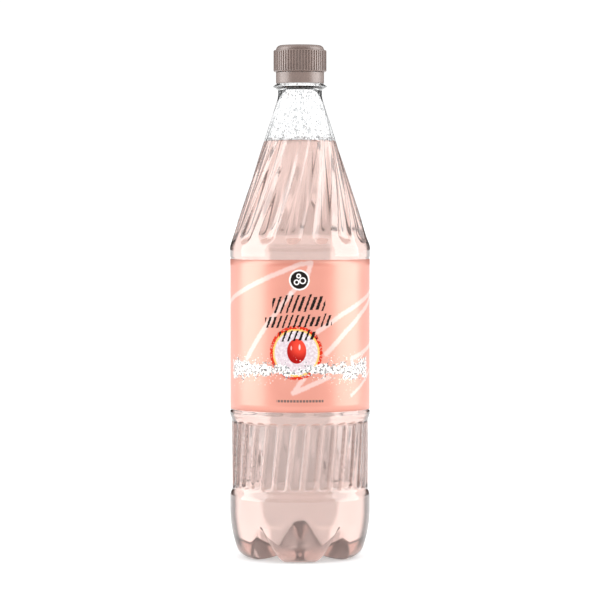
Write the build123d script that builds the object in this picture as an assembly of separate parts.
from build123d import *
from math import cos, log, radians, sin, sqrt, tan
import os

# A small PET soda bottle with a screw cap: 500 ml to the fill line.
# Millimetres, +Z up, origin under the middle of the base, front of the label towards -Y.

# ---- driving dimensions -------------------------------------------------------------------

# Blown body, radii from the outside of the wall
wall = 0.35
body_radius = 32.12
panel_radius = 31.78
waist_radius = 31.08

# Petaloid base
foot_count = 5
foot_inner_radius = 19.71
foot_push_up = 5.03
foot_corner = 7.34
heel_arc = 55.31
heel_height = 22.63
valley_centre_height = 5.63
valley_arc = 52.3
valley_nose = 1.61
valley_half_angle = 33.0
valley_start = 3.3
valley_sweep = 40.0
valley_reach = 24.0
hub_radius = 6.2
hub_height = 6.6

# Heights of the body
heel_top = 29.06
waist_bottom = 31.78
waist_top = 62.66
lower_bead_bottom = 65.67
lower_bead_top = 67.08
panel_bottom = 67.68
panel_top = 137.08
upper_bead_bottom = 137.78

# Rounding of the body's corners, from the heel up to the neck
body_rounds = [3.0, 3.0, 3.0, 1.2, 0.5, 0.5, 0.5, 1.0, 9.0, 14.0]

# Shoulder cone and neck
cone_base_radius = 31.18
cone_base_height = 144.82
cone_half_angle = 18.0
neck_radius = 9.96
neck_top = 213.61
bore_radius = 8.75
lip_height = 232.32
fill_height = 190.58

# Upright recesses round the waist
flute_count = 30
flute_width = 4.43
flute_length = 29.77
flute_floor = 30.02
flute_centre_height = 47.87
flute_corner = 1.31
flute_lean = 6.0
flute_phase = -1.5
flute_overrun = 2.0

# Screwed recesses round the shoulder
groove_count = 15
groove_bottom = 147.84
groove_top = 207.17
groove_phase = -5.6
groove_slope = 0.235
groove_bottom_tool = 5.88
groove_top_tool = 3.02
groove_bottom_depth = 1.61
groove_top_depth = -0.1
groove_fade = 1.4
groove_stations = 8
groove_step = 0.01
groove_nose_angles = (86, 70, 50, 25)

# Neck finish
ring_radius = 12.37
ring_height = 215.12
ring_edge = 0.3
ring_shoulder = 1.6
finish_bottom = 216.23
tamper_bead_radius = 10.41
tamper_bead_bottom = 218.44
tamper_bead_land = 0.5
tamper_bead_top = 219.85
lip_round = 0.45
finish_bury = 0.6

# Right-hand thread, one start
pitch = 2.4
thread_turns = 1.75
thread_crest_radius = 10.71
thread_bottom = 225.18
thread_root_width = 1.11
thread_crest_width = 0.6
thread_play = 0.14
thread_bury = 0.15

# Cap
cap_radius = 12.07
crown_radius = 10.96
crown_round = 2.21
cap_top = 234.23
cap_dome = 0.3
skirt_bottom = 221.81
skirt_top = 231.71
skirt_round = 0.55
cap_bore_radius = 10.91
cap_root_radius = 10.16
cap_throat_radius = 10.16
cap_throat_bottom = 230.61
cap_throat_top = 231.41
cap_ceiling = 232.92
rib_count = 56
rib_groove_width = 0.66
rib_groove_floor = 11.62
rib_groove_bottom = 222.26
rib_groove_top = 231.21

# Seal disc inside the cap
liner_radius = 9.91
liner_gap = 0.04

# Tamper band left on the neck
band_radius = 10.96
band_bore_radius = 10.56
band_bottom = 216.48
band_top = 221.56
band_lip_radius = 10.08
band_lip_top = 218.14
band_lip_slope = 0.6
band_round = 0.2
bridge_count = 12
bridge_size = 0.45
bridge_height = 0.15
bridge_share = 0.8

# Wrap-round label
label_bottom = 68.29
label_top = 136.57
label_thickness = 0.12
label_overlap = 9.0
overlap_depth = 4.0

# Play between the drink and the inside of the bottle
drink_play = 0.05

# Direction of the front, turn of the blown body's seam, how far cutting shapes run past the
# faces they open, and a size beyond the bottle's width
front = -90.0
seam_turn = 14.0
overrun = 1.0
far = 60.0


# ---- shared shapes ------------------------------------------------------------------------

def cone_radius(height):
    """Outside radius of the shoulder cone at a height."""
    return cone_base_radius - (height - cone_base_height) * tan(radians(cone_half_angle))


def cone_height(radius):
    """Height at which the shoulder cone has a radius."""
    return cone_base_height + (cone_base_radius - radius) / tan(radians(cone_half_angle))


def lathe(*points):
    """Solid of revolution about Z from a closed outline of (radius, height) corners."""
    return revolve(make_face(Plane.XZ * Polyline(*points, close=True)), Axis.Z)


def heel_tangent():
    """Centre of the foot corner's arc and the point where the heel's long arc takes over."""
    centre_x = body_radius - heel_arc
    reach = heel_arc - foot_corner
    drop = heel_height - foot_corner
    corner_x = centre_x + sqrt(reach ** 2 - drop ** 2)
    scale = heel_arc / reach
    return corner_x, (centre_x + (corner_x - centre_x) * scale, heel_height - drop * scale)


def body_face(inset, neck, top):
    """Half section of the blown body taken in by inset, closed with a neck of a given radius."""
    corner_x, tangent = heel_tangent()
    scale = (heel_arc - inset) / heel_arc
    heel_x = body_radius - heel_arc
    tangent = (heel_x + (tangent[0] - heel_x) * scale, heel_height - (heel_height - tangent[1]) * scale)
    foot = foot_corner - inset
    push_up_arc = (foot_inner_radius ** 2 + foot_push_up ** 2) / (2 * foot_push_up)
    dome = push_up_arc - sqrt((push_up_arc - inset) ** 2 - foot_inner_radius ** 2)
    side = body_radius - inset
    edges = [
        RadiusArc((0, dome), (foot_inner_radius, inset), -(push_up_arc - inset)),
        Line((foot_inner_radius, inset), (corner_x, inset)),
        RadiusArc((corner_x, inset), tangent, -foot),
        RadiusArc(tangent, (side, heel_height), -(heel_arc - inset)),
        FilletPolyline(
            (side, heel_height),
            (side, heel_top),
            (waist_radius - inset, waist_bottom),
            (waist_radius - inset, waist_top),
            (side, lower_bead_bottom),
            (side, lower_bead_top),
            (panel_radius - inset, panel_bottom),
            (panel_radius - inset, panel_top),
            (side, upper_bead_bottom),
            (side, cone_height(body_radius)),
            (neck, cone_height(neck + inset)),
            (neck, top),
            radius=body_rounds,
        ),
        Line((neck, top), (0, top)),
        Line((0, top), (0, dome)),
    ]
    return make_face(Plane.XZ * Curve(edges))


def valley_cutter(inset):
    """One trough between two feet, from the hub of the base out through the heel."""
    nose = valley_nose + inset
    slant = radians(valley_half_angle)
    shoulder_y = nose * cos(slant)
    shoulder_z = nose * sin(slant)
    foot_y = shoulder_y + valley_reach * tan(slant)
    section = Curve([
        ThreePointArc((-shoulder_y, shoulder_z), (0, nose), (shoulder_y, shoulder_z)),
        Line((shoulder_y, shoulder_z), (foot_y, shoulder_z - valley_reach)),
        Line((foot_y, shoulder_z - valley_reach), (-foot_y, shoulder_z - valley_reach)),
        Line((-foot_y, shoulder_z - valley_reach), (-shoulder_y, shoulder_z)),
    ])
    floor = valley_centre_height - valley_nose
    plane = Plane(origin=(0, 0, floor), x_dir=(0, 1, 0), z_dir=(1, 0, 0))
    pivot = Axis((0, 0, floor + valley_arc), (0, -1, 0))
    face = (plane * make_face(section)).rotate(pivot, valley_start)
    return revolve(face, pivot, valley_sweep)


def hub_cutter(inset):
    """The round dimple in the middle of the base, where the troughs meet."""
    height = hub_height + inset + hub_radius
    return Pos(0, 0, height / 2 - hub_radius) * Cylinder(hub_radius + inset, height)


def flute_cutter(inset):
    """One upright recess of the waist, its floor moved in with the wall."""
    plane = Plane(
        origin=(flute_floor - inset, 0, flute_centre_height), x_dir=(0, 1, 0), z_dir=(1, 0, 0)
    )
    outline = RectangleRounded(
        flute_width + 2 * inset, flute_length + 2 * inset, flute_corner + inset, -flute_lean
    )
    return extrude(plane * outline, amount=waist_radius - flute_floor + inset + flute_overrun)


def groove_point(share):
    """Centre and radius of the round tool that forms a shoulder groove, part way up it."""
    height = groove_bottom + share * (groove_top - groove_bottom)
    radius = cone_radius(height)
    turn = groove_slope / tan(radians(cone_half_angle)) * log(cone_radius(groove_bottom) / radius)
    tool = groove_bottom_tool + share * (groove_top_tool - groove_bottom_tool)
    fade = max(share, 0) ** groove_fade
    depth = groove_bottom_depth + fade * (groove_top_depth - groove_bottom_depth)
    out = tool - depth
    reach = radius + out * cos(radians(cone_half_angle))
    rise = height + out * sin(radians(cone_half_angle))
    return Vector(reach * cos(turn), reach * sin(turn), rise), tool


def groove_section(centre, along, radius):
    """Round section of the groove tool, square to its path."""
    outward = Vector(centre.X, centre.Y, 0).normalized()
    side = along.cross(outward)
    return Plane(origin=centre, x_dir=side.cross(along), z_dir=along) * Circle(radius)


def groove_cutter(inset):
    """One screwed recess of the shoulder: a bent, tapering rod with a round nose at its foot."""
    foot, ball = groove_point(0)
    foot_along = (groove_point(groove_step)[0] - foot).normalized()
    ball += inset
    sections = []
    for nose_angle in groove_nose_angles:
        back = ball * sin(radians(nose_angle))
        radius = ball * cos(radians(nose_angle))
        sections.append(groove_section(foot - foot_along * back, foot_along, radius))
    for station in range(groove_stations):
        share = station / (groove_stations - 1)
        centre, tool = groove_point(share)
        ahead, behind = groove_point(share + groove_step)[0], groove_point(share - groove_step)[0]
        along = (ahead - behind).normalized()
        sections.append(groove_section(centre, along, tool + inset))
    return loft(sections, ruled=True)


def round_array(cutter, count, phase):
    """Copies of a cutter that lies along +X, spread evenly round Z from a phase off the front."""
    return [Rot(0, 0, front + phase + 360 / count * i) * cutter for i in range(count)]


def blown_body(inset, neck, top):
    """The bottle's body as a solid, taken in from the outside by inset."""
    body = Rot(0, 0, seam_turn) * revolve(body_face(inset, neck, top), Axis.Z)
    valleys = round_array(valley_cutter(inset), foot_count, 180 / foot_count)
    flutes = round_array(flute_cutter(inset), flute_count, flute_phase)
    grooves = round_array(groove_cutter(inset), groove_count, groove_phase)
    for cutter in [hub_cutter(inset)] + valleys:
        body -= cutter
    return body - flutes - grooves


def thread_ridge(root, crest, bottom, turns):
    """A one-start right-hand ridge whose section runs from a root radius to a crest radius."""
    outward = 1 if crest > root else -1
    bury = thread_bury * outward
    half_root = thread_root_width / 2
    half_crest = thread_crest_width / 2
    outline = Polyline(
        (root - bury, bottom - half_root),
        (root, bottom - half_root),
        (crest, bottom - half_crest),
        (crest, bottom + half_crest),
        (root, bottom + half_root),
        (root - bury, bottom + half_root),
        close=True,
    )
    path = Helix(pitch=pitch, height=pitch * turns, radius=root, center=(0, 0, bottom))
    return sweep(make_face(Plane.XZ * outline), path=path, is_frenet=True)


# ---- sub-parts ----------------------------------------------------------------------------

def make_finish():
    """Support ring, tamper bead, thread and lip above the neck, as a solid bar."""
    bar = lathe(
        (0, neck_top - finish_bury),
        (neck_radius, neck_top - finish_bury),
        (neck_radius, neck_top),
        (ring_radius - ring_edge, ring_height - ring_edge),
        (ring_radius, ring_height),
        (ring_radius - ring_shoulder, finish_bottom),
        (neck_radius, finish_bottom),
        (neck_radius, tamper_bead_bottom),
        (tamper_bead_radius, tamper_bead_bottom),
        (tamper_bead_radius, tamper_bead_bottom + tamper_bead_land),
        (neck_radius, tamper_bead_top),
        (neck_radius, lip_height - lip_round),
        (neck_radius - lip_round, lip_height),
        (0, lip_height),
    )
    return bar + thread_ridge(neck_radius, thread_crest_radius, thread_bottom, thread_turns)


def make_bottle():
    """The blown shell with its moulded neck finish."""
    outside = blown_body(0, neck_radius, neck_top)
    inside = blown_body(wall, bore_radius, lip_height + overrun)
    return outside + make_finish() - inside


def make_soda():
    """The drink, as the liquid that fills the bottle up to the fill line."""
    keep = Pos(0, 0, fill_height / 2) * Cylinder(far, fill_height)
    return blown_body(wall + drink_play, bore_radius, lip_height) & keep


def make_label():
    """The wrap-round film, with the glued overlap at the back."""
    height = label_top - label_bottom
    outer = panel_radius + label_thickness
    middle = Pos(0, 0, label_bottom + height / 2)
    tube = middle * (Cylinder(outer, height) - Cylinder(panel_radius, height))
    flap_ring = middle * (Cylinder(outer + label_thickness, height) - Cylinder(outer, height))
    window = Pos(0, outer, label_bottom + height / 2) * Box(label_overlap, overlap_depth, height)
    return tube + (flap_ring & window)


def make_cap():
    """The cap: crown, ribbed skirt and inside thread."""
    crown_mid = crown_radius - crown_round
    crown_top = cap_top - cap_dome
    low = skirt_bottom
    outline = Curve([
        ThreePointArc((-crown_mid, crown_top), (0, cap_top), (crown_mid, crown_top)),
        RadiusArc((crown_mid, crown_top), (crown_radius, crown_top - crown_round), crown_round),
        Line((crown_radius, crown_top - crown_round), (crown_radius, low)),
        Line((crown_radius, low), (-crown_mid, low)),
        Line((-crown_mid, low), (-crown_mid, crown_top)),
    ])
    keep = Plane.XZ * Pos(far / 2, lip_height) * Rectangle(far, far)
    crown = revolve(make_face(Plane.XZ * outline) & keep, Axis.Z)
    skirt_height = skirt_top - skirt_bottom
    skirt = Pos(0, 0, skirt_bottom + skirt_height / 2) * Cylinder(cap_radius, skirt_height)
    skirt = fillet(skirt.edges(), skirt_round)
    hollow = lathe(
        (0, skirt_bottom - overrun),
        (cap_bore_radius, skirt_bottom - overrun),
        (cap_bore_radius, cap_throat_bottom),
        (cap_throat_radius, cap_throat_top),
        (cap_throat_radius, cap_ceiling),
        (0, cap_ceiling),
    )
    groove_height = rib_groove_top - rib_groove_bottom
    groove_depth = cap_radius - rib_groove_floor
    groove = Pos(rib_groove_floor + groove_depth, 0, rib_groove_bottom + groove_height / 2) * Box(
        2 * groove_depth, rib_groove_width, groove_height
    )
    cap = crown + skirt - round_array(groove, rib_count, 0) - hollow
    flank_gap = (cap_bore_radius - cap_root_radius) / (thread_crest_radius - neck_radius)
    drop = (thread_root_width + thread_crest_width) / 2 * flank_gap + thread_play
    return cap + thread_ridge(cap_bore_radius, cap_root_radius, thread_bottom - drop, thread_turns)


def make_cap_liner():
    """The soft seal disc between the cap's ceiling and the bottle's lip."""
    bottom = lip_height + liner_gap
    height = cap_ceiling - liner_gap - bottom
    return Pos(0, 0, bottom + height / 2) * Cylinder(liner_radius, height)


def make_tamper_band():
    """The band that stays on the neck, with its inner catch and its row of broken bridges."""
    band = lathe(
        (band_lip_radius, band_bottom + band_round),
        (band_lip_radius + band_round, band_bottom),
        (band_radius - band_round, band_bottom),
        (band_radius, band_bottom + band_round),
        (band_radius, band_top),
        (band_bore_radius, band_top),
        (band_bore_radius, band_lip_top),
        (band_lip_radius, band_lip_top - band_lip_slope),
    )
    middle = (band_radius + band_bore_radius) / 2
    width = band_radius - band_bore_radius
    nub_height = 2 * bridge_height
    nub = Pos(middle, 0, band_top) * Box(width * bridge_share, bridge_size, nub_height)
    return band + round_array(nub, bridge_count, 0)


# ---- files --------------------------------------------------------------------------------

os.makedirs("parts", exist_ok=True)
bottle = make_bottle()
soda = make_soda()
print("drink, ml:", round(soda.volume / 1000, 1))
export_step(bottle, "parts/bottle.step")
export_step(soda, "parts/soda.step")
export_step(make_label(), "parts/label.step")
export_step(make_cap(), "parts/cap.step")
export_step(make_cap_liner(), "parts/cap_liner.step")
export_step(make_tamper_band(), "parts/tamper_band.step")
